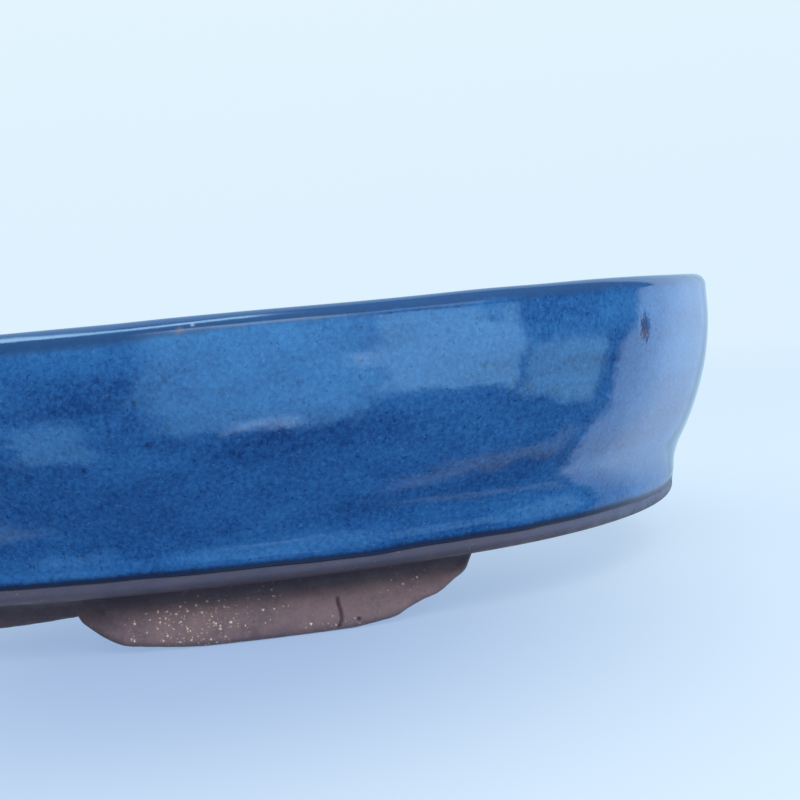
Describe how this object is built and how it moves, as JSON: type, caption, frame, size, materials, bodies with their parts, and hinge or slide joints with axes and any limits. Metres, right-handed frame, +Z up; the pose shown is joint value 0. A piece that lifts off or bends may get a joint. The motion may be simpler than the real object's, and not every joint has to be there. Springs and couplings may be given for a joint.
{
  "type": "bonsai pot",
  "caption": "Low oval bonsai pot of dark brown stoneware, mottled blue glaze over a full belly and narrow waist, bare lower edge, cloud-shaped feet, open top and drainage holes in the floor.",
  "frame": {"origin": "centre of the pot's footprint, on the ground plane under the feet", "axes": "X runs along the pot's long axis, Y across it with the front at -Y, Z up out of the open top"},
  "size_m": [0.366, 0.27, 0.07],
  "materials": {
    "clay": "matt unglazed stoneware with sandy grog specks",
    "glaze": "glossy mottled blue, darker where it is thin"
  },
  "bodies": {
    "root": {"wall": "clay", "floor_slab": "clay", "rim_lip": "clay", "glaze_coat": "glaze", "foot_front_right": "clay", "foot_front_left": "clay", "foot_back_right": "clay", "foot_back_left": "clay", "front_foot_strip": "clay", "back_foot_strip": "clay"}
  },
  "joints": []
}
